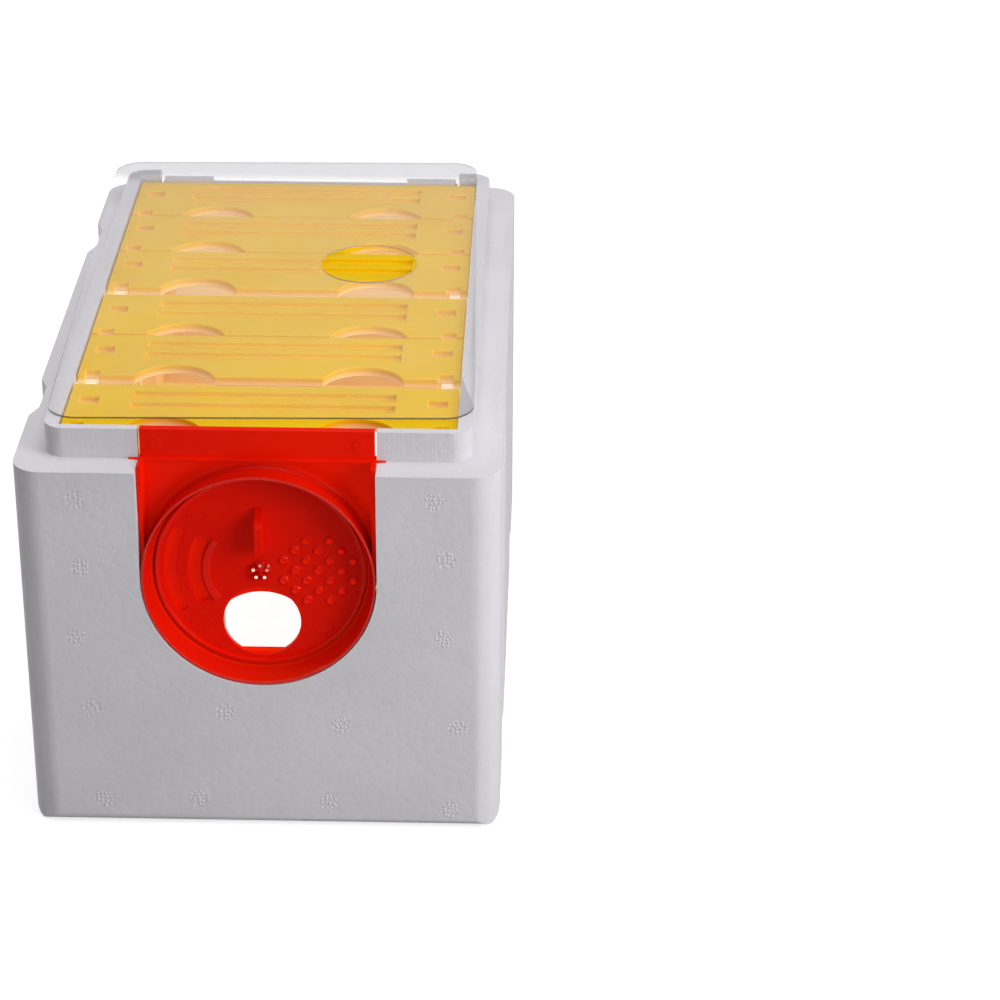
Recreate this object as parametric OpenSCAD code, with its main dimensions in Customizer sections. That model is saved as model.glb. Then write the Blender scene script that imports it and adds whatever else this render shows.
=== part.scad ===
// Foam nuc box: body, rotary entrance, six frames, clear cover, rear plug and sliding floor.
// Millimetres, Z up. The origin is the middle of the base and the entrance faces -Y.

/* [Foam body] */
// Outside width
body_w = 160; // [154:1:176]
// Outside length from the entrance face to the rear face
body_l = 256; // [252:1:272]
// Height of the shoulder that carries the lid
shoulder_h = 134.5; // [130:0.5:146]
// Height of the rim above the shoulder
rim_h = 10.5; // [9:0.5:12]
// Radius of the upright corners
corner_r = 10; // [6:1:14]
// Radius of the bottom edges
base_r = 4; // [2:0.5:6]
// Radius of the rim's upright corners
rim_r = 7; // [4:0.5:9]
// Width of the shoulder along the sides
rim_side = 9.6; // [8.6:0.2:10.6]
// Width of the shoulder at the entrance
rim_front = 11.4; // [10:0.2:11.6]
// Width of the shoulder at the rear
rim_rear = 12.2; // [12:0.2:13]
// Thickness of the rim along the sides
rim_wall = 4.9; // [4:0.1:6]
// Thickness of the rim posts at the rear
rear_post = 5.3; // [5.2:0.1:6.5]
// Thickness of the entrance wall
front_wall = 14.6; // [14.6:0.1:16]
// Thickness of the rear wall
rear_wall = 12; // [11:0.2:12]
// Width of the ledge under each end of the top bars
ledge_w = 7; // [6:0.2:8]
// Height of the floor inside
floor_h = 20.5; // [18:0.5:22]
// Distance of each side groove from the middle
groove_pos = 71; // [62:1:78]
// Width of a side groove at the face
groove_w = 29; // [24:1:32]
// Width of a side groove at its bottom
groove_floor_w = 16; // [12:1:18]
// Depth of a side groove
groove_depth = 2.6; // [1.5:0.1:3.5]

/* [Rear porch] */
// Width of the porch and of the opening above it
porch_w = 90.6; // [80:0.2:94]
// Depth of the porch from the rear face
porch_depth = 23.4; // [21:0.2:25]
// Underside of the porch roof
porch_roof_z = 52; // [49:0.5:54]
// Thickness of the porch roof and back wall
porch_wall = 6; // [5:0.5:6.5]
// Width of the window into the box
window_w = 16; // [12:0.5:20]
// Height of the window
window_h = 17.5; // [12:0.5:20]
// Height of the window sill above the floor
window_sill = 2; // [1:0.5:4]

/* [Entrance] */
// Width of the entrance insert
housing_w = 77.8; // [74:0.2:80]
// Depth of the entrance insert
housing_depth = 13.8; // [13.4:0.1:14]
// Height of the turning centre above the base
hub_z = 94.5; // [90:0.5:96]
// Thickness of the dish's lip
dish_lip = 0.8; // [0.6:0.1:1.2]
// Narrowing of the dish from its lip to its floor
dish_taper = 2.6; // [2:0.1:3.2]
// Thickness of the dish's wall at its foot
cup_t = 1.9; // [1.4:0.1:2.4]
// Thickness of the disc
disc_t = 1.7; // [1.4:0.1:2]
// Radius of the centre pin
pin_r = 3; // [2.6:0.1:3.4]
// Radius of the bee hole as a share of the disc's radius
hole_share = 0.371; // [0.32:0.01:0.38]
// Place of the bee hole as a share of the disc's radius
hole_pos_share = 0.557; // [0.53:0.005:0.565]
// Diameter of a vent hole
vent_d = 1.6; // [1.2:0.1:2]
// Width of the excluder slots
slot_w = 4.4; // [4:0.1:4.6]
// Thickness of the grip fin
fin_t = 2.5; // [2:0.1:3.5]
// Height of the grip fin above the disc
fin_h = 6.6; // [5:0.2:7]

/* [Frames] */
// Share of the frames' room that one top bar takes
bar_share = 0.1527; // [0.147:0.0005:0.154]
// Thickness of a top bar
bar_h = 3.5; // [3:0.1:3.8]
// Depth of the top bars below the rim
bar_sink = 1.4; // [1:0.1:2]
// Gap between frames pushed together
tight_gap = 1.3; // [0.8:0.1:1.8]
// Width of a side bar
side_bar_w = 15; // [12:0.5:16]
// Thickness of the side and bottom bars
side_bar_t = 3; // [2.5:0.1:3.4]
// Height of the bottom bars above the base
frame_z = 82; // [76:1:90]

/* [Clear cover] */
// Width of the cover
cover_w = 141; // [136:1:142]
// Length by which the cover falls short of the body
cover_short = 24; // [24:1:32]
// Thickness of the cover
cover_t = 0.8; // [0.6:0.1:1.4]
// Radius of the cover's corners
cover_r = 10; // [6:1:14]
// Radius of the feed hole
feed_r = 17.5; // [14:0.5:20]
// Turn of the cover as it lies on the rim
cover_turn = 1.4; // [0:0.1:2.5]

/* [Rear plug] */
// Bottom edge of the plug's panel
plug_z = 62; // [60:0.5:66]
// Thickness of the plug's inner flange
plug_flange_t = 5; // [4:0.1:5]
// Height of the flange above the shoulder
plug_crest = 6.5; // [3:0.5:7]
// Height of the humps above the flange
hump_h = 1.7; // [1:0.1:2.2]
// Height of a finger recess
recess_h = 22; // [18:0.5:26]
// Depth of a finger recess
recess_depth = 8.5; // [6:0.5:9]

/* [Sliding floor] */
// Thickness of the sliding floor
tray_t = 1.8; // [1.4:0.1:2]
// Height of the slot that the floor runs in
pocket_h = 9; // [8.4:0.2:10]
// Distance of the floor's lip from the rear face
tray_rear = 1.5; // [1.5:0.5:4]

/* [Hidden] */
$fn = 96;
over = 1;
fit = 0.3;
loose_fit = 0.5;
slide_fit = 0.2;
snug_fit = 0.1;
run_fit = 0.05;

front_y = -body_l / 2;
rear_y = body_l / 2;
rim_top = shoulder_h + rim_h;
rabbet_hw = body_w / 2 - rim_side - rim_wall;
inside_hw = rabbet_hw - ledge_w;
inside_front_y = front_y + front_wall;
inside_rear_y = rear_y - rear_wall;
rabbet_rear_y = rear_y - rim_rear - rear_post;
rabbet_z = rim_top - bar_h - bar_sink;

housing_hw = housing_w / 2;
housing_front = 0.5;
notch_hw = housing_hw + fit;
plate_f = rim_front;
plate_t = housing_front + housing_depth - plate_f;
dish_depth = plate_f - housing_front;
dish_r = housing_hw - dish_lip;
dish_floor_r = dish_r - dish_taper;
cup_foot_r = dish_floor_r + cup_t;
cove_r = 3;
side_wall_f = 3.5;
side_wall_t = 1.4;
rim_gap = 0.4;
flange_t = 0.6;
flange_reach = 1.6;
flange_lap = 1.2;
tip_l = 3.4;
tip_flat = 0.2;
bite = 0.4;
disc_r = dish_floor_r - loose_fit;
disc_f = plate_f - slide_fit - disc_t;
barb = 0.7;
barb_l = 1.4;
pin_slot = 1.2;
pin_arms = 5;
pin_turn = 18;
back_arch_share = 1.39;
back_sill_share = 0.97;
back_arch_top_share = 0.79;
fin_low_share = 0.21;
fin_high_share = 0.67;
slot_outer_share = 0.926;
slot_inner_share = 0.697;
rib_share = 0.55;
vent_mid_share = 0.549;
vent_pitch_share = 0.22;
vent_row_share = 0.107;
hole_r = disc_r * hole_share;
hole_pos = disc_r * hole_pos_share;
back_arch_r = hole_r * back_arch_share;
fin_rake = 1.6;
fin_slope = 4.6;
slot_outer_r = disc_r * slot_outer_share;
slot_inner_r = disc_r * slot_inner_share;
slot_half_angle = 27;
rib_r = disc_r * rib_share;
rib_w = 2.2;
rib_h = 0.8;
rib_half_angle = 37;
wedge_share = 1.6;
vent_rows = [2, 3, 4, 3, 4, 3, 2];
vent_mid = disc_r * vent_mid_share;
vent_pitch = disc_r * vent_pitch_share;
vent_row = disc_r * vent_row_share;
vent_foot = 1.8;
vent_top = 1.25;
vent_h = 0.6;
disc_rim_w = 1.1;
disc_rim_h = 1.2;
ejector_r = 2.2;
ejector_h = 0.3;
ejector_share = 0.86;

frames = 6;
bar_gap = 0.5;
bar_l = 2 * (rabbet_hw - bar_gap);
bar_rear_gap = 4;
is_loose = [1, 0, 1, 0, 0];
loose_count = 2;
tight_count = 3;
bar_run = rabbet_rear_y - bar_rear_gap - inside_front_y - bar_gap;
bar_w = bar_run * bar_share;
loose_gap = (bar_run - frames * bar_w - tight_count * tight_gap) / loose_count;
bar_groove_l = 88;
bar_groove_w = 14.4;
bar_groove_depth = 1.6;
ridge_w = 3;
dome_r = 14.5;
dome_depth = 9;
dome_x = 32;
bar_mid = (bar_w + dome_depth) / 2;
end_slot_l = 6.5;
end_slot_w = 5;
end_slot_in = 3.5;
notch_w = 5;
notch_depth = 4;
notch_end = 2.5;
guide_l = 88;
guide_w = 3;
guide_h = 2.4;
side_gap = 3;
side_x = inside_hw - side_bar_t - side_gap;
brace = 5;

lip_w = 3.5;
tray_rest_z = pocket_h - tray_t - 2 * fit;
lip_z = 2;
lip_end = 14;
pocket_step = 1;
pocket_hw = inside_hw - pocket_step;
pocket_ahead = 4;
pocket_front_f = body_l / 2 - pocket_ahead;
opening_hw = 45;
opening_ahead = 12;
opening_front_f = body_l / 2 + opening_ahead;
opening_rear = 34;
tray_l = body_l / 2 - tray_rear;
tray_lip_t = 3;
tray_lip_h = 4.3;
tray_lip_inset = 6;
cover_l = body_l - cover_short;
cover_y = 8;
cover_x = -2.7;
feed_x = 31.5;
feed_y = 14.3;

plug_hw = porch_w / 2 - loose_fit + snug_fit;
plug_flange_hw = inside_hw - loose_fit - fit;
plug_flange_f = rear_wall + slide_fit;
plug_rest_z = porch_roof_z + porch_wall + fit;
plug_r = 4;
hump_in = 38;
hump_edge = 0.7;
recess_z = 98;
recess_end = 12.8;
plug_notch_w = 17;
plug_notch_h = 10;

foam_white = [0.93, 0.93, 0.94];
entrance_red = [0.80, 0.08, 0.02];
disc_red = [0.86, 0.11, 0.03];
frame_yellow = [0.95, 0.74, 0.05];
lower_yellow = [0.93, 0.70, 0.06];
tray_yellow = [0.92, 0.76, 0.02];
cover_clear = [0.85, 0.90, 0.95, 0.35];
plug_white = [0.90, 0.90, 0.92];

// Front edge of top bar i, counted from the entrance
function bar_y(i) = i == 1
    ? inside_front_y + bar_gap
    : bar_y(i - 1) + bar_w + (is_loose[i - 2] == 1 ? loose_gap : tight_gap);

// Flat outline in X and Z, extruded rearwards from a depth behind the entrance face
module from_front(f, depth) {
    translate([0, front_y + f + depth, 0])
        rotate([90, 0, 0])
            linear_extrude(depth)
                children();
}

// Flat outline in X and Z, extruded forwards from a depth ahead of the rear face
module from_rear(v, depth) {
    translate([0, rear_y - v, 0])
        rotate([90, 0, 0])
            linear_extrude(depth)
                children();
}

module rounded_outline(w, l, r) {
    square([w - 2 * r, l], center = true);
    square([w, l - 2 * r], center = true);
    for (sx = [-1, 1], sy = [-1, 1])
        translate([sx * (w / 2 - r), sy * (l / 2 - r)])
            circle(r);
}

// Upright outline of a given width with rounded lower corners
module footed_outline(w, h, r) {
    translate([-w / 2, r])
        square([w, h - r]);
    translate([r - w / 2, 0])
        square([w - 2 * r, h]);
    for (s = [-1, 1])
        translate([s * (w / 2 - r), r])
            circle(r);
}

module slab(hw, y0, y1, z0, z1) {
    translate([-hw, y0, z0])
        cube([2 * hw, y1 - y0, z1 - z0]);
}

module u_outline(hw, top) {
    translate([-hw, hub_z])
        square([2 * hw, top - hub_z]);
    translate([0, hub_z])
        circle(hw);
}

// Thin rib across the plate, with a pointed tip on the shoulder at each side
module flange_outline() {
    translate([-housing_hw, front_y + plate_f - flange_reach])
        square([2 * housing_hw, flange_reach + bite]);
    for (s = [-1, 1])
        polygon([
            [s * (housing_hw - flange_lap), front_y + plate_f - flange_reach],
            [s * (housing_hw + tip_l), front_y + plate_f - flange_reach / 2 - tip_flat / 2],
            [s * (housing_hw + tip_l), front_y + plate_f - flange_reach / 2 + tip_flat / 2],
            [s * (housing_hw - flange_lap), front_y + plate_f - fit]
        ]);
}

module outer_block() {
    intersection() {
        linear_extrude(shoulder_h)
            rounded_outline(body_w, body_l, corner_r);
        from_front(0, body_l)
            footed_outline(body_w, shoulder_h, base_r);
        rotate([90, 0, 90])
            translate([0, 0, -body_w / 2])
                linear_extrude(body_w)
                    footed_outline(body_l, shoulder_h, base_r);
    }
    translate([0, (rim_front - rim_rear) / 2, floor_h])
        linear_extrude(rim_top - floor_h)
            rounded_outline(body_w - 2 * rim_side, body_l - rim_front - rim_rear, rim_r);
}

module porch_block() {
    difference() {
        slab(inside_hw + over, rear_y - porch_depth - porch_wall, rear_y, floor_h - over,
            porch_roof_z + porch_wall);
        slab(porch_w / 2, rear_y - porch_depth, rear_y + over, floor_h, porch_roof_z);
        slab(window_w / 2, rear_y - porch_depth - porch_wall - over, rear_y, floor_h + window_sill,
            floor_h + window_sill + window_h);
    }
}

module side_grooves() {
    for (sx = [-1, 1], sy = [-1, 1])
        translate([0, 0, -over])
            linear_extrude(shoulder_h + 2 * over)
                polygon([
                    [sx * (body_w / 2 - groove_depth), sy * groove_pos - groove_floor_w / 2],
                    [sx * (body_w / 2), sy * groove_pos - groove_w / 2],
                    [sx * (body_w / 2 + over), sy * groove_pos - groove_w / 2],
                    [sx * (body_w / 2 + over), sy * groove_pos + groove_w / 2],
                    [sx * (body_w / 2), sy * groove_pos + groove_w / 2],
                    [sx * (body_w / 2 - groove_depth), sy * groove_pos + groove_floor_w / 2]
                ]);
}

module foam_body() {
    color(foam_white)
        difference() {
            outer_block();
            difference() {
                slab(inside_hw, inside_front_y, inside_rear_y, floor_h, rim_top + over);
                porch_block();
            }
            slab(rabbet_hw, inside_front_y, rabbet_rear_y, rabbet_z, rim_top + over);
            slab(porch_w / 2, inside_rear_y - over, rear_y + over, floor_h, rim_top + over);
            from_front(-over, front_wall + 2 * over)
                u_outline(notch_hw, rim_top + over);
            difference() {
                slab(pocket_hw, front_y + pocket_front_f, rear_y + over, -over, pocket_h);
                for (s = [-1, 1])
                    translate([s * (pocket_hw - lip_w / 2), front_y + pocket_front_f, lip_z])
                        translate([-lip_w / 2 - (s < 0 ? over : 0), -over, 0])
                            cube([lip_w + over, body_l - pocket_front_f - lip_end + over,
                                tray_rest_z - lip_z]);
            }
            slab(opening_hw, front_y + opening_front_f, rear_y - opening_rear, 0, floor_h + over);
            side_grooves();
        }
}

// Split pin with a barbed head on each finger
module snap_pin() {
    pin_l = plate_f - disc_f + fit + barb_l;
    difference() {
        translate([0, front_y + plate_f + over, hub_z])
            rotate([90, 0, 0]) {
                cylinder(h = pin_l + over, r = pin_r);
                translate([0, 0, pin_l + over - barb_l])
                    cylinder(h = barb_l, r1 = pin_r + barb, r2 = pin_r - barb);
            }
        for (k = [0 : pin_arms - 1])
            translate([0, front_y + plate_f - pin_l - over, hub_z])
                rotate([0, pin_turn + k * 360 / pin_arms, 0])
                    translate([0, 0, -pin_slot / 2])
                        cube([pin_r + over, pin_l + over - snug_fit, pin_slot]);
    }
}

// Opening in the dish floor: arched at the top and flat at the sill
module back_opening() {
    intersection() {
        translate([0, hub_z - hole_pos - back_arch_r + hole_r * back_arch_top_share])
            circle(back_arch_r);
        translate([-hole_r, hub_z - hole_pos - hole_r * back_sill_share])
            square([2 * hole_r, 2 * hole_r]);
    }
}

// Hollow between the dish's wall and the plate, rounded like the root of a moulded rib
module cup_cove() {
    intersection() {
        translate([0, front_y + plate_f, hub_z])
            rotate([90, 0, 0])
                rotate_extrude()
                    difference() {
                        translate([cup_foot_r - bite, -bite])
                            square([cove_r + bite, cove_r + bite]);
                        translate([cup_foot_r + cove_r, cove_r])
                            circle(cove_r);
                    }
        from_front(0, housing_depth)
            u_outline(housing_hw, shoulder_h);
    }
}

// Walls that line the straight sides of the notch ahead of the plate
module side_walls() {
    from_front(side_wall_f, plate_f + bite - side_wall_f)
        for (s = [-1, 1])
            translate([s * (housing_hw - side_wall_t / 2) - side_wall_t / 2, hub_z])
                square([side_wall_t, shoulder_h + flange_t - hub_z]);
}

module entrance_housing() {
    color(entrance_red) {
        difference() {
            union() {
                from_front(plate_f, plate_t) {
                    u_outline(housing_hw, shoulder_h + flange_t);
                    u_outline(housing_hw - rim_gap, rim_top);
                }
                side_walls();
                translate([0, front_y + housing_front, hub_z])
                    rotate([-90, 0, 0])
                        cylinder(h = dish_depth + bite, r1 = housing_hw, r2 = cup_foot_r);
                cup_cove();
                translate([0, 0, shoulder_h])
                    linear_extrude(flange_t)
                        flange_outline();
                for (s = [-1, 1])
                    translate([s * housing_hw * ejector_share, front_y + plate_f + bite,
                        shoulder_h + rim_h / 2])
                        rotate([90, 0, 0])
                            cylinder(h = ejector_h + bite, r = ejector_r);
            }
            translate([0, front_y + housing_front, hub_z])
                rotate([-90, 0, 0])
                    cylinder(h = dish_depth, r1 = dish_r, r2 = dish_floor_r);
            translate([0, front_y + housing_front - over, hub_z])
                rotate([-90, 0, 0])
                    cylinder(h = over, r = dish_r);
            from_front(plate_f - over, plate_t + 2 * over)
                back_opening();
        }
        snap_pin();
    }
}

module circle_at_hub(r) {
    translate([0, hub_z])
        circle(r);
}

module ring_sector(r0, r1, middle, half) {
    reach = r1 * wedge_share;
    translate([0, hub_z])
        intersection() {
            difference() {
                circle(r1);
                circle(r0);
            }
            polygon([
                [0, 0],
                [reach * cos(middle - half), reach * sin(middle - half)],
                [reach * cos(middle), reach * sin(middle)],
                [reach * cos(middle + half), reach * sin(middle + half)]
            ]);
        }
}

// Curved slot with round ends
module round_slot(r) {
    mid_r = r - slot_w / 2;
    ring_sector(r - slot_w, r, 180, slot_half_angle);
    for (a = [180 - slot_half_angle, 180 + slot_half_angle])
        translate([mid_r * cos(a), hub_z + mid_r * sin(a)])
            circle(d = slot_w);
}

// Upright fin, drawn in depth and height and raked at both ends
module grip_fin() {
    low = disc_r * fin_low_share;
    high = disc_r * fin_high_share;
    translate([-fin_t / 2, front_y + disc_f, hub_z])
        rotate([90, 0, 90])
            linear_extrude(fin_t)
                polygon([
                    [bite, low],
                    [bite, high],
                    [0, high],
                    [-fin_h, high - fin_slope],
                    [-fin_h, low + fin_rake],
                    [0, low]
                ]);
}

// Repeats its children at each vent of the staggered field
module at_vents() {
    for (row = [0 : len(vent_rows) - 1])
        for (k = [0 : vent_rows[row] - 1])
            translate([vent_mid + (k - (vent_rows[row] - 1) / 2) * vent_pitch, front_y + disc_f,
                hub_z + ((len(vent_rows) - 1) / 2 - row) * vent_row])
                rotate([90, 0, 0])
                    children();
}

module entrance_disc() {
    color(disc_red) {
        difference() {
            union() {
                from_front(disc_f, disc_t)
                    circle_at_hub(disc_r);
                from_front(disc_f - disc_rim_h, disc_rim_h + bite)
                    difference() {
                        circle_at_hub(disc_r);
                        circle_at_hub(disc_r - disc_rim_w);
                    }
                at_vents()
                    cylinder(h = vent_h, r1 = vent_foot, r2 = vent_top);
            }
            from_front(disc_f - over, disc_t + 2 * over) {
                circle_at_hub(pin_r + run_fit);
                translate([0, hub_z - hole_pos])
                    circle(hole_r);
                round_slot(slot_outer_r);
                round_slot(slot_inner_r);
            }
            at_vents()
                translate([0, 0, -disc_t - over])
                    cylinder(h = disc_t + vent_h + 2 * over, d = vent_d);
        }
        from_front(disc_f - rib_h, rib_h + bite)
            ring_sector(rib_r - rib_w, rib_r, 180, rib_half_angle);
        grip_fin();
    }
}

module top_bar(i) {
    color(frame_yellow)
        translate([0, bar_y(i), rabbet_z]) {
            difference() {
                translate([-bar_l / 2, 0, 0])
                    cube([bar_l, bar_w, bar_h]);
                for (s = [0, 1])
                    translate([-bar_groove_l / 2,
                        bar_mid - bar_groove_w / 2 + s * (bar_groove_w + ridge_w) / 2,
                        bar_h - bar_groove_depth])
                        cube([bar_groove_l, (bar_groove_w - ridge_w) / 2, bar_groove_depth + over]);
                for (s = [-1, 1]) {
                    translate([s * dome_x, dome_depth - dome_r, -over])
                        cylinder(h = bar_h + 2 * over, r = dome_r);
                    translate([s * (bar_l / 2 - notch_end - notch_w / 2) - notch_w / 2, -over, -over])
                        cube([notch_w, notch_depth + over, bar_h + 2 * over]);
                    translate([s * (bar_l / 2 - end_slot_in - end_slot_l / 2) - end_slot_l / 2,
                        bar_mid - end_slot_w / 2, -over])
                        cube([end_slot_l, end_slot_w, bar_h + 2 * over]);
                }
            }
            translate([-guide_l / 2, bar_mid - guide_w / 2, -guide_h])
                cube([guide_l, guide_w, guide_h + bite]);
        }
}

module lower_frame(i) {
    color(lower_yellow)
        translate([0, bar_y(i) + bar_w / 2, 0]) {
            for (s = [-1, 1]) {
                translate([s * (side_x + side_bar_t / 2) - side_bar_t / 2, -side_bar_w / 2, frame_z])
                    cube([side_bar_t, side_bar_w, rabbet_z - frame_z]);
                translate([0, guide_w / 2, 0])
                    rotate([90, 0, 0])
                        linear_extrude(guide_w)
                            polygon([
                                [s * (side_x + snug_fit), frame_z + side_bar_t + brace],
                                [s * (side_x - brace), frame_z + side_bar_t - snug_fit],
                                [s * (side_x + snug_fit), frame_z + side_bar_t - snug_fit]
                            ]);
            }
            translate([-side_x - side_bar_t, -side_bar_w / 2, frame_z])
                cube([2 * (side_x + side_bar_t), side_bar_w, side_bar_t]);
        }
}

module clear_cover() {
    color(cover_clear)
        translate([cover_x, cover_y, rim_top])
            rotate(cover_turn)
                linear_extrude(cover_t)
                    difference() {
                        rounded_outline(cover_w, cover_l, cover_r);
                        translate([feed_x, feed_y])
                            circle(feed_r);
                    }
}

module recess_outline() {
    for (s = [-1, 1]) {
        translate([s * (recess_end + recess_h / 2), recess_z])
            circle(d = recess_h);
        translate([s > 0 ? recess_end + recess_h / 2 : -plug_hw - over, recess_z - recess_h / 2])
            square([plug_hw + over - recess_end - recess_h / 2, recess_h]);
    }
}

module rear_plug() {
    color(plug_white)
        difference() {
            union() {
                from_rear(0, plug_flange_f + plug_flange_t)
                    translate([0, plug_z])
                        footed_outline(2 * plug_hw, shoulder_h - plug_z, plug_r);
                from_rear(plug_flange_f, plug_flange_t) {
                    translate([-plug_flange_hw, plug_rest_z])
                        square([2 * plug_flange_hw, shoulder_h + plug_crest - plug_rest_z]);
                    for (s = [-1, 1])
                        translate([s > 0 ? hump_in : hump_edge - plug_flange_hw, shoulder_h])
                            square([plug_flange_hw - hump_edge - hump_in, plug_crest + hump_h]);
                }
            }
            from_rear(-over, recess_depth + over)
                recess_outline();
            from_rear(-over, plug_flange_f + over)
                translate([-plug_notch_w / 2, plug_z - over])
                    square([plug_notch_w, plug_notch_h + over]);
        }
}

module sliding_floor() {
    color(tray_yellow) {
        slab(pocket_hw - fit, rear_y - tray_rear - tray_l, rear_y - tray_rear, tray_rest_z + fit,
            tray_rest_z + fit + tray_t);
        slab(pocket_hw - tray_lip_inset, rear_y - tray_rear - tray_lip_t, rear_y - tray_rear,
            tray_rest_z + fit + tray_t - tray_lip_h, tray_rest_z + fit + tray_t);
    }
}

foam_body();
entrance_housing();
entrance_disc();
top_bar(1);  // top_bar_1
top_bar(2);  // top_bar_2
top_bar(3);  // top_bar_3
top_bar(4);  // top_bar_4
top_bar(5);  // top_bar_5
top_bar(6);  // top_bar_6
lower_frame(1);  // lower_frame_1
lower_frame(2);  // lower_frame_2
lower_frame(3);  // lower_frame_3
lower_frame(4);  // lower_frame_4
lower_frame(5);  // lower_frame_5
lower_frame(6);  // lower_frame_6
clear_cover();
rear_plug();
sliding_floor();
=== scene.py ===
import math

import bmesh
import bpy
from mathutils import Matrix, Vector


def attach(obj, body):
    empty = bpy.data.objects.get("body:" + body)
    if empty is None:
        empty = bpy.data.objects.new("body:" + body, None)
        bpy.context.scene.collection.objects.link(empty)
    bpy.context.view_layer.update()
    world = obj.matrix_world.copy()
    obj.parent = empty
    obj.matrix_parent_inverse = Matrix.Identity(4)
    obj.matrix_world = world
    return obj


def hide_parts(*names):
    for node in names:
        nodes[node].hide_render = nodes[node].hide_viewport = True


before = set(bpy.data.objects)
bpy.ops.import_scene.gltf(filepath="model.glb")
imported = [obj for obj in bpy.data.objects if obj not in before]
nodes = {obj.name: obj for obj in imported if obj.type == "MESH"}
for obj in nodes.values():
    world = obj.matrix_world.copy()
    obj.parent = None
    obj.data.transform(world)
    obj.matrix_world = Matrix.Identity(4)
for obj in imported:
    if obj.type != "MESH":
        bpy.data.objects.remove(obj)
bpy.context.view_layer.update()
scene = bpy.context.scene
scene.view_settings.view_transform = "Standard"
print("frame loaded:", len(nodes), "nodes")

# Camera fitted to the box's edges, for a square picture: metres, degrees, and millimetres for lens and sensor
cameraPlace = {"spot": (0.0972, -1.0307, 0.5906), "yaw": -1.11, "pitch": 27.19, "roll": 0.31,
               "lens": 112.5, "sensor": 36.0, "farthest": 30.0}


def placeCamera(place):
    yaw, pitch, roll = (math.radians(place[k]) for k in ("yaw", "pitch", "roll"))
    forward = Vector((math.sin(yaw) * math.cos(pitch), math.cos(yaw) * math.cos(pitch), -math.sin(pitch)))
    level = Vector((math.cos(yaw), -math.sin(yaw), 0.0))
    upright = level.cross(forward)
    right = math.cos(roll) * level + math.sin(roll) * upright
    up = math.cos(roll) * upright - math.sin(roll) * level
    data = bpy.data.cameras.new("photoCamera")
    data.lens = place["lens"]
    data.sensor_width = place["sensor"]
    data.sensor_fit = "HORIZONTAL"
    data.clip_end = place["farthest"]
    camera = bpy.data.objects.new("photoCamera", data)
    turn = Matrix((right, up, -forward)).transposed()
    camera.matrix_world = Matrix.Translation(place["spot"]) @ turn.to_4x4()
    scene.collection.objects.link(camera)
    scene.camera = camera


placeCamera(cameraPlace)
print("camera placed")


class Wire:
    # a node socket that takes part in sums: each operator adds one Math node
    def __init__(self, graph, socket):
        self.graph = graph
        self.socket = socket

    def sum(self, operation, first, second):
        made = self.graph.node("ShaderNodeMath", {"operation": operation}, {0: first, 1: second})
        return made("Value")

    def __add__(self, other):
        return self.sum("ADD", self, other)

    def __radd__(self, other):
        return self.sum("ADD", other, self)

    def __sub__(self, other):
        return self.sum("SUBTRACT", self, other)

    def __rsub__(self, other):
        return self.sum("SUBTRACT", other, self)

    def __mul__(self, other):
        return self.sum("MULTIPLY", self, other)

    def __rmul__(self, other):
        return self.sum("MULTIPLY", other, self)

    def __abs__(self):
        return self.sum("ABSOLUTE", self, 0.0)

    def root(self):
        return self.sum("SQRT", self, 0.0)

    def least(self, other):
        return self.sum("MINIMUM", self, other)

    def most(self, other):
        return self.sum("MAXIMUM", self, other)

    def __lt__(self, other):
        return self.sum("LESS_THAN", self, other)

    def __gt__(self, other):
        return self.sum("GREATER_THAN", self, other)


class Graph:
    # one node tree: node() makes any node, settings first, then the values or links of its sockets
    def __init__(self, owner):
        owner.use_nodes = True
        self.tree = owner.node_tree
        self.tree.nodes.clear()

    def feed(self, node, values):
        for key, value in values.items():
            socket = node.inputs[key]
            if isinstance(value, Wire):
                self.tree.links.new(value.socket, socket)
            elif isinstance(value, tuple) and len(value) == 3 and socket.type == "RGBA":
                socket.default_value = value + (1.0,)
            else:
                socket.default_value = value

    def node(self, kind, settings, values):
        made = self.tree.nodes.new(kind)
        for key, value in settings.items():
            if key == "stops":
                self.setStops(made.color_ramp, value)
            else:
                setattr(made, key, value)
        self.feed(made, values)
        return lambda name: Wire(self, made.outputs[name])

    # Grey stops of a ramp, each a place and a level
    def setStops(self, ramp, stops):
        while len(ramp.elements) < len(stops):
            ramp.elements.new(0.5)
        for element, (spot, shade) in zip(ramp.elements, stops):
            element.position = spot
            element.color = (shade, shade, shade, 1.0)


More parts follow.
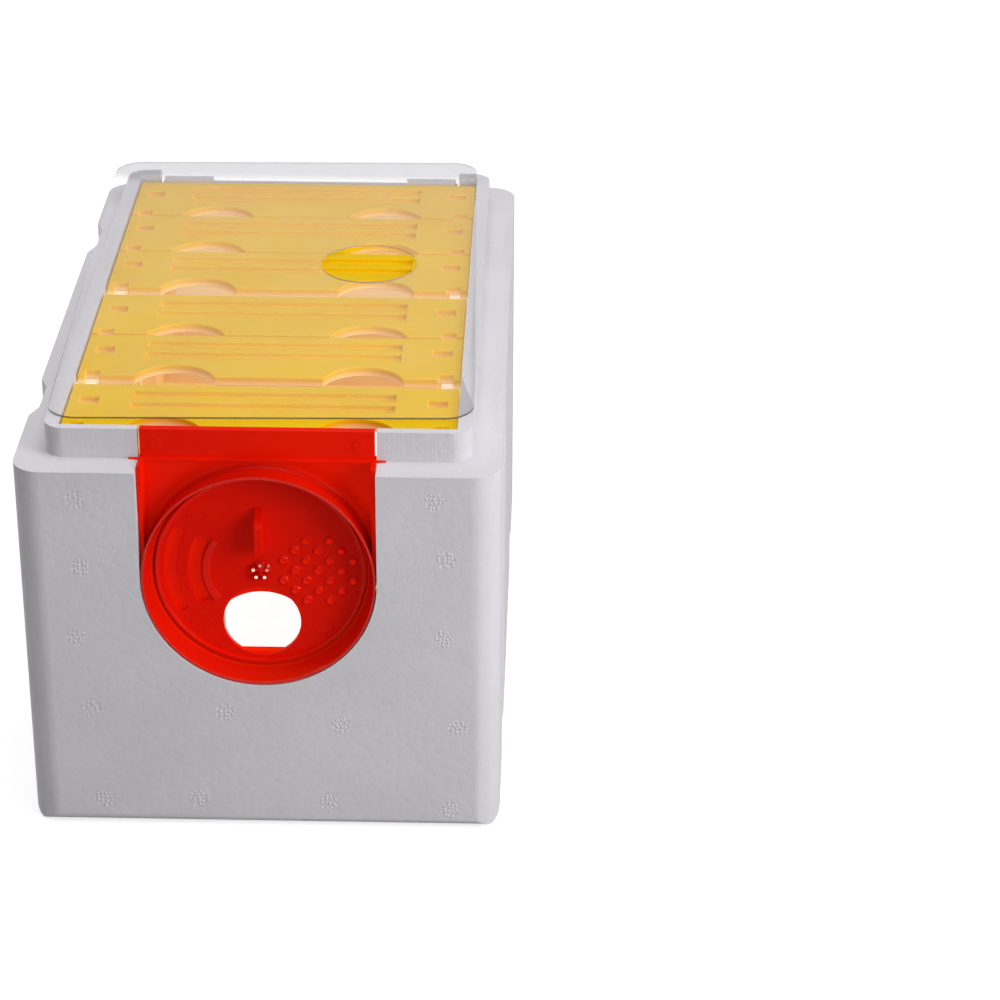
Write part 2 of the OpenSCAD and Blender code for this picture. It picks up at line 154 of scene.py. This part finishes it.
class Finish(Graph):
    # one material: a single shader, and the textures and colours that paint() feeds it
    def __init__(self, name, **sockets):
        self.material = bpy.data.materials.new(name)
        super().__init__(self.material)
        shaded = self.node("ShaderNodeBsdfPrincipled", {}, {})("BSDF")
        self.shader = shaded.socket.node
        self.node("ShaderNodeOutputMaterial", {}, {"Surface": shaded})
        self.place = self.node("ShaderNodeTexCoord", {}, {})("Object")
        self.paint(**sockets)

    def paint(self, **sockets):
        self.feed(self.shader, {key.replace("_", " "): value for key, value in sockets.items()})

    def split(self, vector):
        parts = self.node("ShaderNodeSeparateXYZ", {}, {"Vector": vector})
        return parts("X"), parts("Y"), parts("Z")

    def axes(self):
        return self.split(self.place)

    def facing(self, kind="Normal"):
        return self.split(self.node("ShaderNodeNewGeometry", {}, {})(kind))

    def vector(self, **parts):
        return self.node("ShaderNodeCombineXYZ", {}, parts)("Vector")

    def noise(self, scale, detail, rough, place=None):
        values = {"Vector": place or self.place, "Scale": scale, "Detail": detail, "Roughness": rough}
        return self.node("ShaderNodeTexNoise", {}, values)("Fac")

    def flatCells(self, place, scale, jitter):
        return self.node("ShaderNodeTexVoronoi", {"voronoi_dimensions": "2D"},
                         {"Vector": place, "Scale": scale, "Randomness": jitter})

    def cells(self, scale):
        return self.node("ShaderNodeTexVoronoi", {}, {"Vector": self.place, "Scale": scale})("Distance")

    def ramp(self, value, stops):
        return self.node("ShaderNodeValToRGB", {"stops": stops}, {"Fac": value})("Color")

    # From 0 at start to 1 at the given length beyond it
    def fade(self, value, start, length):
        return self.ramp((value - start) * (1.0 / length), ((0.0, 0.0), (1.0, 1.0)))

    # Colours are the Mix node's inputs 6 and 7 and its output 2
    def blend(self, share, first, second):
        return self.node("ShaderNodeMix", {"data_type": "RGBA"}, {0: share, 6: first, 7: second})(2)

    def bump(self, height, strength, distance):
        made = self.node("ShaderNodeBump", {}, {"Height": height, "Strength": strength, "Distance": distance})
        return made("Normal")


black = (0.0, 0.0, 0.0)

# A noise is given as scale, detail and roughness, the room as half width, front, rear, low and high
foamLook = {"pale": (0.680, 0.666, 0.700), "grey": (0.622, 0.608, 0.640), "rough": 0.86, "shine": 0.25,
            "beads": 330.0, "seamStops": ((0.0, 0.0), (0.55, 0.35), (1.0, 1.0)), "fine": (1400.0, 3.0, 0.6),
            "clouds": (28.0, 3.0, 0.55), "cloudShare": 0.75, "toneStops": ((0.30, 0.0), (0.72, 1.0)),
            "fineRise": 0.45, "seamDip": 0.6, "markRise": 1.8, "drawRise": 0.5, "relief": 0.42,
            "reliefDepth": 0.00035, "markTone": (0.80, 0.79, 0.82), "markShare": 0.5,
            "drawLines": (1500.0, 2.0, 0.5), "drawStretch": 0.03, "rimFoot": 0.1348,
            # The glow colours and level below are painted light for the room inside
            "glow": (0.80, 0.85, 1.0), "warmGlow": (0.58, 0.385, 0.15), "glowLevel": 0.70,
            "warmStops": ((0.40, 0.0), (0.75, 1.0)), "room": (0.0657, -0.1140, 0.0992, 0.0195, 0.1405),
            "plugFace": 0.1165, "plugFoot": 0.0560, "inward": -0.5,
            "edge": 0.0014, "rounds": 3, "plugEdge": 0.0008, "foot": 0.001, "footShare": 0.4}
markLook = {"across": 0.0405, "up": 0.0300, "left": -0.064, "low": 0.0065, "reach": 0.0034, "jitter": 0.32,
            "dots": 690.0, "dotJitter": 0.6, "dotStops": ((0.10, 1.0), (0.42, 0.0)), "turned": 0.7}

# Mould vents on the entrance face, across and up in millimetres
frontMarks = ((-58.9, 124.7), (-58.2, 99.6), (-61.3, 73.1), (-57.8, 46.1), (-55.3, 9.8), (-22.8, 10.4),
              (-12.5, 45.0), (26.6, 40.5), (21.5, 9.2), (63.0, 7.3), (65.8, 39.9), (61.5, 74.6),
              (62.1, 104.0), (58.4, 125.4))
millimetre = 0.001


# Square of the distance to the nearest mark of the entrance face
def nearestMark(x, z):
    nearest = None
    for across, up in frontMarks:
        right = x - across * millimetre
        above = z - up * millimetre
        away = right * right + above * above
        nearest = away if nearest is None else nearest.least(away)
    return nearest


# Round patches of dots: at the listed places in front, elsewhere one per cell of a jittered lattice
def ventMarks(finish, x, y, z):
    sideFacing, endFacing, topFacing = finish.facing("True Normal")
    across = x + (abs(sideFacing) > markLook["turned"]) * (y - x)
    up = z + (abs(topFacing) > markLook["turned"]) * (y - z)
    u = (across - markLook["left"]) * (1.0 / markLook["across"])
    v = (up - markLook["low"]) * (1.0 / markLook["up"])
    lattice = finish.flatCells(finish.vector(X=u, Y=v), 1.0, markLook["jitter"])
    middle = finish.split(lattice("Position"))
    right = (u - middle[0]) * markLook["across"]
    above = (v - middle[1]) * markLook["up"]
    away = right * right + above * above
    inFront = endFacing < -markLook["turned"]
    patch = (away + inFront * (nearestMark(x, z) - away)) < markLook["reach"] ** 2
    dots = finish.flatCells(finish.vector(X=across, Y=up), markLook["dots"], markLook["dotJitter"])
    return patch * finish.ramp(dots("Distance"), markLook["dotStops"])


# Fine upright drawing marks that the mould leaves on the raised rim
def drawMarks(finish, x, y, z):
    stretched = finish.vector(X=x, Y=y, Z=z * foamLook["drawStretch"])
    return finish.noise(*foamLook["drawLines"], stretched) * (z > foamLook["rimFoot"])


# One where a face bounds the room inside, with the plug's inner face: the faces that get the painted glow
def paintedGlowFaces(finish, x, y, z):
    halfWidth, front, rear, low, high = foamLook["room"]
    room = (abs(x) < halfWidth) * (y > front) * (z > low) * (z < high)
    inward = finish.facing("True Normal")[1] < foamLook["inward"]
    plugSide = (y > rear) * (y < foamLook["plugFace"]) * (z > foamLook["plugFoot"]) * inward
    return room * ((y < rear) + plugSide)


# Painted light: the faces bounding the room inside glow, standing for light through the thin foam, white at
# its floor and warm between the frames
def foamFinish(name, look):
    finish = Finish(name, Roughness=look["rough"], Specular_IOR_Level=look["shine"],
                    Emission_Strength=look["glowLevel"])
    fine = finish.noise(*look["fine"])
    cloud = finish.noise(*look["clouds"])
    seams = finish.ramp(finish.cells(look["beads"]), look["seamStops"])
    tone = finish.ramp(cloud * look["cloudShare"] + fine * (1.0 - look["cloudShare"]), look["toneStops"])
    x, y, z = finish.axes()
    marks = ventMarks(finish, x, y, z)
    height = look["fineRise"] * fine - look["seamDip"] * seams + look["markRise"] * marks
    height = height + look["drawRise"] * drawMarks(finish, x, y, z)
    decimetres = z * 10.0
    # Painted glow colour, white low in the room and warm higher up
    glow = finish.blend(finish.ramp(decimetres, look["warmStops"]), look["glow"], look["warmGlow"])
    plain = finish.blend(tone, look["grey"], look["pale"])
    finish.paint(Base_Color=finish.blend(look["markShare"] * marks, plain, look["markTone"]),
                 Emission_Color=finish.blend(paintedGlowFaces(finish, x, y, z), black, glow),
                 Normal=finish.bump(height, look["relief"], look["reliefDepth"]))
    return finish


# The foam's bottom edges stay crisper than its other edges
def foamEdges(spot):
    return foamLook["footShare"] if spot.z < foamLook["foot"] else 1.0


# What all hard plastics share: flow clouds in the colour and a fine grain
plasticLook = {"flow": (22.0, 3.0, 0.5), "flowStops": ((0.32, 0.0), (0.70, 1.0)), "grain": (900.0, 2.0, 0.5),
               "grainRise": 0.05, "grainDepth": 0.0002, "glossSpread": 0.05}
trayLook = {"dark": (0.86, 0.52, 0.004), "bright": (0.92, 0.57, 0.006), "gloss": 0.36, "shine": 0.2,
            "edge": 0.0003}


def plasticFinish(name, look):
    finish = Finish(name, Specular_IOR_Level=look["shine"], Emission_Color=black, Emission_Strength=1.0)
    flow = finish.noise(*plasticLook["flow"])
    grain = finish.noise(*plasticLook["grain"])
    spread = plasticLook["glossSpread"]
    finish.base = finish.blend(finish.ramp(flow, plasticLook["flowStops"]), look["dark"], look["bright"])
    finish.grain = plasticLook["grainRise"] * grain
    finish.paint(Base_Color=finish.base, Roughness=look["gloss"] - spread + 2.0 * spread * grain,
                 Normal=finish.bump(finish.grain, 1.0, plasticLook["grainDepth"]))
    return finish


yellowLook = {"dark": (0.80, 0.490, 0.001), "bright": (0.86, 0.540, 0.002), "gloss": 0.34, "shine": 0.08,
              "top": 0.1436, "depth": 0.0035, "depthStops": ((0.35, 0.0), (1.0, 1.0)), "under": 0.1355,
              # The paler upright and lower tones and the three glow colours here are painted light
              "wall": (0.85, 0.66, 0.36), "wallGlow": (0.22, 0.17, 0.095), "grooveGlow": (0.07, 0.035, 0.0),
              "lower": (0.84, 0.57, 0.13), "lowerGlow": (0.16, 0.10, 0.035), "upright": 0.5,
              "frames": 6, "edge": 0.0004, "lowerEdge": 0.0003}


# Thin yellow plastic with painted light: upright faces, less so near the top, where grooves are cut, and the
# lower frames get a paler tone and a painted glow, and groove sides a faint painted glow
def frameFinish(name, look):
    finish = plasticFinish(name, look)
    upright = abs(finish.facing()[2]) < look["upright"]
    z = finish.axes()[2]
    deep = finish.ramp((look["top"] - z) * (1.0 / look["depth"]), look["depthStops"])
    below = z < look["under"]
    # Share of painted light: upright faces deeper below the top, and all faces of the lower frames
    wall = upright * deep + (1.0 - upright) * below
    groove = finish.blend(upright, black, look["grooveGlow"])
    tone = finish.blend(below, look["wall"], look["lower"])
    glow = finish.blend(below, look["wallGlow"], look["lowerGlow"])
    finish.paint(Base_Color=finish.blend(wall, finish.base, tone),
                 Emission_Color=finish.blend(wall, groove, glow))
    return finish


# Distance from the disc's turning axis
def fromHub(x, z, hub):
    up = z - hub
    return (x * x + up * up).root()


redLook = {"dark": (0.68, 0.006, 0.0008), "bright": (0.74, 0.009, 0.0010), "gloss": 0.20, "shine": 0.05,
           "hub": 0.0945, "lip": 0.0385, "taper": 0.188, "face": -0.1275, "root": 0.0385, "rootFade": 0.0055,
           "ribTop": 0.1350, "wallDepth": -0.1250, "plateDepth": -0.1172, "discReach": 0.0352,
           "lipDepth": -0.1269, "lipReach": 0.0378, "pinReach": 0.0045, "pinCoat": 0.3, "coatRough": 0.07,
           # plateGlow, slotGlow and gapGlow are painted glow
           "plateGlow": (0.19, 0.003, 0.0), "slotGlow": (0.27, 0.004, 0.0), "overRib": 0.6,
           # The tip entries place painted glints on the pin's finger tips
           "glintTone": (1.0, 0.80, 0.72), "tipTurn": 18.0, "tipReach": 0.0024, "tipSize": 0.00055,
           "tipLevels": (0.3, 0.3, 1.0, 1.0, 1.0), "gapDepth": -0.1203, "gapReach": 0.0340,
           # deep is the colour of the painted shade near the dish's root
           "gapGlow": (0.10, 0.004, 0.0), "deep": (0.40, 0.003, 0.0004), "rootShade": 0.4,
           "flat": -0.8, "flatShare": 0.5, "edge": 0.0005, "rounds": 3}
# Shares of the insert's edge rounding: beyond endReach, at the rib, the pin and the tips over the rib
redEdges = {"endReach": 0.0390, "end": 0.15, "ribLow": 0.1344, "ribHigh": 0.1352, "rib": 0.35, "pin": 0.4,
            "tipDepth": -0.1168, "tip": 0.5, "rest": 0.75}


# Painted highlights: pale glints on the tips of the pin's five fingers, stronger on the lower ones
def paintedTipGlints(x, z, look):
    light = None
    step = 360.0 / len(look["tipLevels"])
    for number, level in enumerate(look["tipLevels"]):
        angle = math.radians(look["tipTurn"] + step * number)
        right = x - look["tipReach"] * math.cos(angle)
        above = z - look["hub"] - look["tipReach"] * math.sin(angle)
        spot = level * ((right * right + above * above) < look["tipSize"] ** 2)
        light = spot if light is None else light + spot
    return light


# Painted light on the insert: its plate glows as if lit from inside through the thin plastic, less so at the
# thick root of the dish, which is painted darker as shade; painted glow also behind the disc and in the gap
# round it
def insertFinish(name, look):
    finish = plasticFinish(name, look)
    x, y, z = finish.axes()
    away = fromHub(x, z, look["hub"])
    outside = away > (look["lip"] - look["taper"] * (y - look["face"]))
    thin = finish.fade(away, look["root"], look["rootFade"])
    thin = thin + look["flatShare"] * (finish.facing()[1] < look["flat"]) * (1.0 - thin)
    plate = outside * (y > look["wallDepth"]) * thin * (1.0 - (1.0 - look["overRib"]) * (z > look["ribTop"]))
    behind = (away < look["discReach"]) * (y > look["plateDepth"])
    gap = (1.0 - outside) * (y > look["gapDepth"]) * (y < look["plateDepth"]) * (away > look["gapReach"])
    # Painted glow in the plate, behind the disc and in the gap round it
    glow = finish.blend(plate, black, look["plateGlow"])
    glow = finish.blend(behind, glow, look["slotGlow"])
    glow = finish.blend(gap, glow, look["gapGlow"])
    glow = finish.blend(paintedTipGlints(x, z, look), glow, look["glintTone"])
    # Painted shade: the plate darker towards the dish's root
    paintedShade = outside * (y > look["lipDepth"]) * (1.0 - thin) * look["rootShade"]
    lip = (y < look["lipDepth"]) * (away > look["lipReach"])
    pin = away < look["pinReach"]
    finish.paint(Base_Color=finish.blend(paintedShade, finish.base, look["deep"]), Emission_Color=glow,
                 Coat_Weight=lip + look["pinCoat"] * pin, Coat_Roughness=look["coatRough"])
    return finish


def insertEdges(spot):
    if abs(spot.x) > redEdges["endReach"]:
        return redEdges["end"]
    if redEdges["ribLow"] < spot.z < redEdges["ribHigh"]:
        return redEdges["rib"]
    if spot.x ** 2 + (spot.z - redLook["hub"]) ** 2 < redLook["pinReach"] ** 2:
        return redEdges["pin"]
    if spot.z > redEdges["ribHigh"] and spot.y < redEdges["tipDepth"]:
        return redEdges["tip"]
    return redEdges["rest"]


discLook = {"dark": (0.80, 0.006, 0.0006), "bright": (0.88, 0.008, 0.0008), "gloss": 0.20, "shine": 0.05,
            "coat": 0.25, "coatRough": 0.15, "faceDepth": -0.11870, "finDepth": -0.1203, "hub": 0.0945,
            # The vents' glow is painted light, the rim's glow a painted highlight
            "ventStart": 0.0050, "ventHalf": 0.0140, "ventDepth": -0.1194, "ventGlow": (0.17, 0.007, 0.0),
            "upright": 0.5, "rimReach": 0.0335, "rimDepth": -0.1197, "paintedRimHighlight": (0.16, 0.030, 0.012),
            "ringPlace": 0.0205, "ringSize": 0.0032, "ringWidth": 0.0004, "ringRise": 0.5,
            "ringStops": ((0.0, 1.0), (1.0, 0.0)), "edge": 0.0003}


# More gloss on the disc's rim, vents and rib than on its face, painted light inside the vents, a painted
# highlight on the rim's top, and four ejector rings
def discFinish(name, look):
    finish = plasticFinish(name, look)
    x, y, z = finish.axes()
    up = z - look["hub"]
    away = fromHub(x, z, look["hub"])
    raised = (y < look["faceDepth"]) * (y > look["finDepth"])
    field = (x > look["ventStart"]) * (abs(up) < look["ventHalf"]) * (away < look["rimReach"])
    ventWall = field * (abs(finish.facing()[1]) < look["upright"]) * (y > look["ventDepth"])
    rim = (away > look["rimReach"]) * (y < look["rimDepth"])
    # Painted light inside the vents and a painted highlight on the rim
    glow = finish.blend(ventWall, black, look["ventGlow"])
    across = abs(x) - look["ringPlace"]
    along = abs(up) - look["ringPlace"]
    off = abs((across * across + along * along).root() - look["ringSize"])
    ring = finish.ramp(off * (1.0 / look["ringWidth"]), look["ringStops"])
    finish.paint(Coat_Weight=look["coat"] * raised, Coat_Roughness=look["coatRough"],
                 Emission_Color=finish.blend(rim, glow, look["paintedRimHighlight"]),
                 Normal=finish.bump(finish.grain + look["ringRise"] * ring, 1.0, plasticLook["grainDepth"]))
    return finish


# Along the sheet, free and pale give a start and a length
sheetLook = {"face": (0.92, 0.92, 0.96), "edge": (0.10, 0.09, 0.08), "paintedLitEdge": (0.62, 0.61, 0.66),
             "rough": 0.08, "shine": 0.5, "pale": (-0.03, 0.11), "paleFade": 0.7, "cover": 0.072,
             "reflectionRise": 0.32, "film": (60.0, 2.0, 0.5), "filmSpread": 0.02, "cut": 0.6, "edgeCover": 0.8,
             # The free end's paler tone and extra cover are painted reflection
             "free": (0.102, 0.010), "freeReflection": (0.80, 0.79, 0.83), "freeReflectionCover": 0.37, "rounding": 0.00015}


# Clear sheet with painted reflection: it covers more towards the rear and is paler and milky at its free rear
# end; where it is looked at through its cut edge it is nearly opaque, painted dark there as shade and paler
# towards the rear as painted light
def clearFinish(name, look):
    finish = Finish(name, Roughness=look["rough"], Specular_IOR_Level=look["shine"])
    cut = abs(finish.facing()[2]) < look["cut"]
    film = finish.noise(*look["film"])
    y = finish.axes()[1]
    free = finish.fade(y, *look["free"])
    pale = finish.fade(y, *look["pale"])
    # Painted reflection: the sheet covers more towards the rear
    thin = look["cover"] - look["filmSpread"] + 2.0 * look["filmSpread"] * film + look["reflectionRise"] * y
    # Cut edge painted dark as shade, paler towards the rear as painted light
    edge = finish.blend(pale, look["edge"], look["paintedLitEdge"])
    face = finish.blend(free, look["face"], look["freeReflection"])
    edgeCover = cut * (1.0 - look["paleFade"] * pale) * look["edgeCover"]
    finish.paint(Base_Color=finish.blend(cut, face, edge), Alpha=thin + edgeCover + free * look["freeReflectionCover"])
    return finish


finishes = {
    "foam": foamFinish("mouldedFoam", foamLook),
    "housing_red": insertFinish("entranceRed", redLook),
    "disc_red": discFinish("discRed", discLook),
    "frame_yellow": frameFinish("frameYellow", yellowLook),
    "floor_yellow": plasticFinish("floorYellow", trayLook),
    "clear_sheet": clearFinish("clearSheet", sheetLook),
}
print("finishes mixed:", len(finishes))

# Welding distance, angles in degrees for joining flat faces and rounding edges, and a broad face's area
edgePlan = {"weld": 1e-6, "flat": 0.4, "sharp": 32.0, "slight": 5.0, "broad": 6e-4}


# True for an edge to be rounded: a sharp one, or a slighter one between two broad flat faces
def bends(line):
    angle = math.degrees(line.calc_face_angle())
    broad = min(face.calc_area() for face in line.link_faces) > edgePlan["broad"]
    return angle > edgePlan["sharp"] or (broad and angle > edgePlan["slight"])


# A node's own surface, welded, with its flat faces joined and its edges rounded, less so where share says
def softened(nodeName, body, slotName, edge, rounds=2, share=None):
    work = bmesh.new()
    work.from_mesh(nodes[nodeName].data)
    bmesh.ops.remove_doubles(work, verts=work.verts, dist=edgePlan["weld"])
    flat = math.radians(edgePlan["flat"])
    bmesh.ops.dissolve_limit(work, angle_limit=flat, verts=work.verts, edges=work.edges)
    weight = work.edges.layers.float.new("bevel_weight_edge")
    for line in work.edges:
        if len(line.link_faces) == 2 and bends(line):
            line[weight] = 1.0 if share is None else share((line.verts[0].co + line.verts[1].co) / 2.0)
    mesh = bpy.data.meshes.new(nodeName + "Soft")
    work.to_mesh(mesh)
    work.free()
    mesh.shade_smooth()
    mesh.set_sharp_from_angle(angle=math.radians(edgePlan["sharp"]))
    mesh.materials.clear()
    mesh.materials.append(finishes[slotName].material)
    piece = bpy.data.objects.new(nodeName + "Soft", mesh)
    scene.collection.objects.link(piece)
    bevel = piece.modifiers.new("edges", "BEVEL")
    bevel.width = edge
    bevel.segments = rounds
    bevel.limit_method = "WEIGHT"
    weighted = piece.modifiers.new("normals", "WEIGHTED_NORMAL")
    weighted.keep_sharp = True
    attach(piece, body)
    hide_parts(nodeName)


softened("foam_body", "box", "foam", foamLook["edge"], foamLook["rounds"], foamEdges)
softened("rear_plug", "plug", "foam", foamLook["plugEdge"])
softened("entrance_housing", "entrance", "housing_red", redLook["edge"], redLook["rounds"], insertEdges)
softened("entrance_disc", "disc", "disc_red", discLook["edge"])
for number in range(1, yellowLook["frames"] + 1):
    softened(f"top_bar_{number}", f"frame_{number}", "frame_yellow", yellowLook["edge"])
    softened(f"lower_frame_{number}", f"frame_{number}", "frame_yellow", yellowLook["lowerEdge"])
softened("sliding_floor", "floor", "floor_yellow", trayLook["edge"])
softened("clear_cover", "cover", "clear_sheet", sheetLook["rounding"])
print("edges rounded")

lampPlan = {
    "overhead": {"spot": (0.14, -0.16, 1.55), "aim": (0.0, 0.0, 0.10), "size": 1.1, "power": 11.6},
    "key": {"spot": (0.74, -0.50, 0.40), "aim": (0.0, 0.0, 0.08), "size": 0.5, "power": 5.3},
    "rear": {"spot": (-0.80, 0.95, 0.18), "aim": (0.0, 0.0, 0.07), "size": 0.6, "power": 10.0},
}
worldLook = {"tone": (1.0, 1.0, 1.0), "light": 0.32}
floorLook = {"reach": 6.0, "level": -0.0004, "tone": (0.46, 0.46, 0.46), "rough": 0.9,
             "seen": (0.7, 0.7, 0.7)}


def setLamps(plan):
    for name, lamp in plan.items():
        data = bpy.data.lights.new(name, "AREA")
        data.shape = "SQUARE"
        data.size = lamp["size"]
        data.energy = lamp["power"]
        shine = bpy.data.objects.new(name, data)
        shine.location = lamp["spot"]
        ahead = Vector(lamp["aim"]) - Vector(lamp["spot"])
        shine.rotation_euler = ahead.to_track_quat("-Z", "Y").to_euler()
        scene.collection.objects.link(shine)


# White where it is seen, dimmer as a light
def setWorld(look):
    scene.world = bpy.data.worlds.new("studio")
    graph = Graph(scene.world)
    rays = graph.node("ShaderNodeLightPath", {}, {})
    seen = rays("Is Camera Ray").most(rays("Is Transmission Ray"))
    strength = look["light"] + (1.0 - look["light"]) * seen
    glow = graph.node("ShaderNodeBackground", {}, {"Color": look["tone"], "Strength": strength})
    graph.node("ShaderNodeOutputWorld", {}, {"Surface": glow("Background")})


def layFloor(look):
    reach, level = look["reach"], look["level"]
    corners = [(-reach, -reach, level), (reach, -reach, level), (reach, reach, level), (-reach, reach, level)]
    mesh = bpy.data.meshes.new("studioFloor")
    mesh.from_pydata(corners, [], [(0, 1, 2, 3)])
    floor = bpy.data.objects.new("studioFloor", mesh)
    scene.collection.objects.link(floor)
    finish = Finish("paleFloor", Base_Color=look["tone"], Roughness=look["rough"], Specular_IOR_Level=0.0)
    seen = finish.node("ShaderNodeLightPath", {}, {})("Is Camera Ray")
    finish.paint(Emission_Color=finish.blend(seen, black, look["seen"]), Emission_Strength=1.0)
    mesh.materials.append(finish.material)


setLamps(lampPlan)
setWorld(worldLook)
layFloor(floorLook)
print("studio lit")
